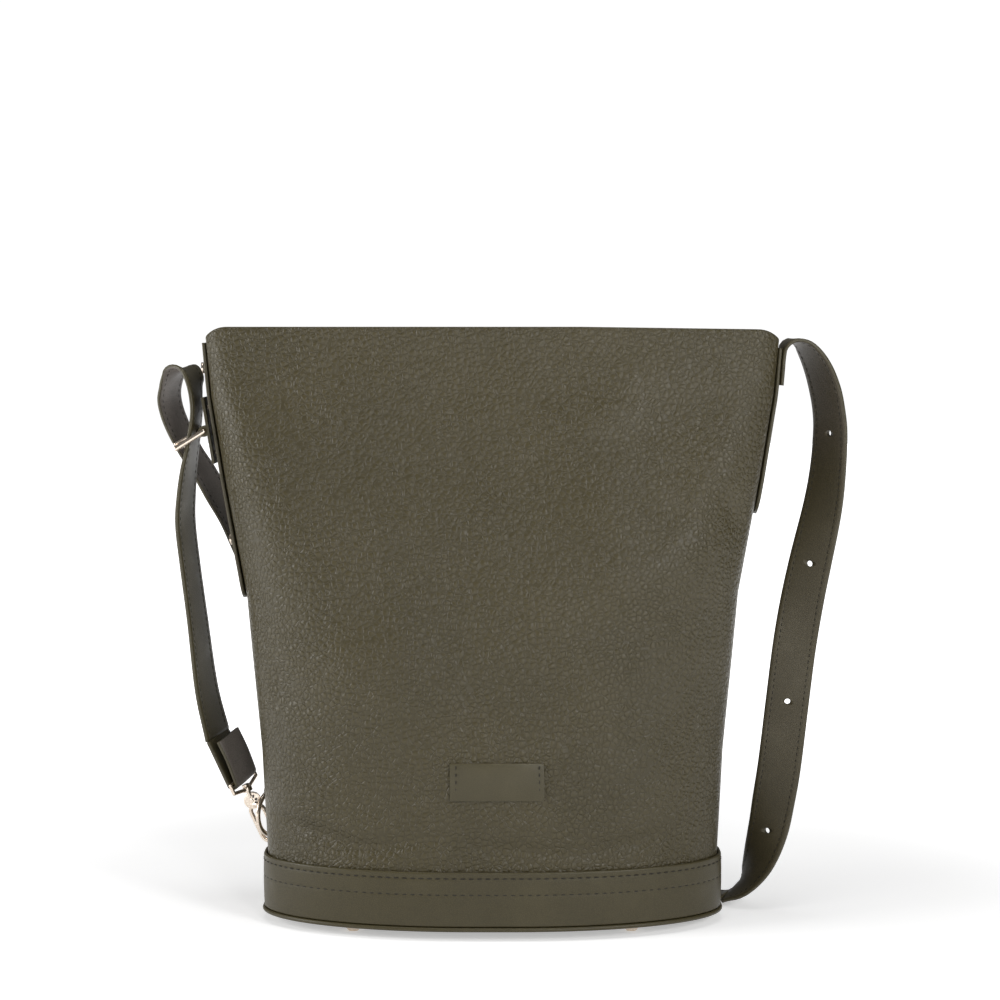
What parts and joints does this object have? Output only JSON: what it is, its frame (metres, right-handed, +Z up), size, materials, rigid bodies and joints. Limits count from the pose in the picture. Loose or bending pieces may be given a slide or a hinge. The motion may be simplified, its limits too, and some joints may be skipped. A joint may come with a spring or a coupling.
{
  "type": "bucket bag with buckled strap",
  "caption": "Olive pebbled-leather bucket bag with a sewn base band, blank patch, long punched strap, side buckle and a snap hook clipped to a ring.",
  "frame": {"origin": "on the ground, under the middle of the whole part as it stands", "axes": "+X to the right seen from the front, +Y to the back, +Z up"},
  "size_m": [0.3942, 0.1587, 0.338],
  "materials": {
    "pebbled_leather": "pebbled, semi-matt olive",
    "smooth_leather": "smooth, satin olive",
    "strap_leather": "smooth, satin olive outside and grey taupe inside",
    "lining_fabric": "plain woven",
    "stiffener_board": "pressed board",
    "pale_gold_metal": "polished pale gold plate",
    "nickel_metal": "polished nickel plate"
  },
  "bodies": {
    "bag": {"front_panel": "pebbled_leather", "back_panel": "pebbled_leather", "base_band": "smooth_leather", "base_panel": "smooth_leather", "base_welt": "smooth_leather", "name_patch": "smooth_leather", "right_side_tab": "smooth_leather", "left_side_tab": "smooth_leather", "buckle_chape": "smooth_leather", "ring_chape": "smooth_leather", "rim_facing_front": "smooth_leather", "rim_facing_back": "smooth_leather", "strap_right_run": "strap_leather", "strap_rear_run": "strap_leather", "strap_left_run": "strap_leather", "strap_end_fold": "strap_leather", "lining": "lining_fabric", "base_board": "stiffener_board", "back_ring": "pale_gold_metal", "hook_eye": "pale_gold_metal", "chape_rivets": "pale_gold_metal", "left_tab_rivets": "pale_gold_metal", "ring_rivet": "pale_gold_metal", "foot_front_left": "nickel_metal", "foot_front_right": "nickel_metal", "foot_back_left": "nickel_metal", "foot_back_right": "nickel_metal", "foot_washers": "nickel_metal", "snap_socket": "nickel_metal", "snap_stud": "nickel_metal"},
    "buckle": {"buckle_frame": "pale_gold_metal"},
    "prong": {"buckle_prong": "pale_gold_metal"},
    "hook": {"hook_body": "pale_gold_metal"},
    "gate": {"hook_gate": "pale_gold_metal"}
  },
  "joints": [
    {"name": "buckle_tilt", "type": "hinge", "parent": "bag", "child": "buckle", "pos_m": [-0.16696, -0.0161, 0.27915], "axis": [0, 1, 0], "range_deg": [-4, 4]},
    {"name": "prong_lift", "type": "hinge", "parent": "buckle", "child": "prong", "pos_m": [-0.16696, -0.0161, 0.27915], "axis": [0, 1, 0], "range_deg": [0, 6]},
    {"name": "hook_swivel", "type": "hinge", "parent": "bag", "child": "hook", "pos_m": [-0.14419, 0.00461, 0.06288], "axis": [0.41, 0.06, -0.9101], "range_deg": [-5, 8]},
    {"name": "gate_open", "type": "hinge", "parent": "hook", "child": "gate", "pos_m": [-0.13718, 0.00304, 0.05737], "axis": [0.3814, 0.8951, 0.2309], "range_deg": [0, 16], "stiffness_Nm_per_rad": 0.004}
  ]
}
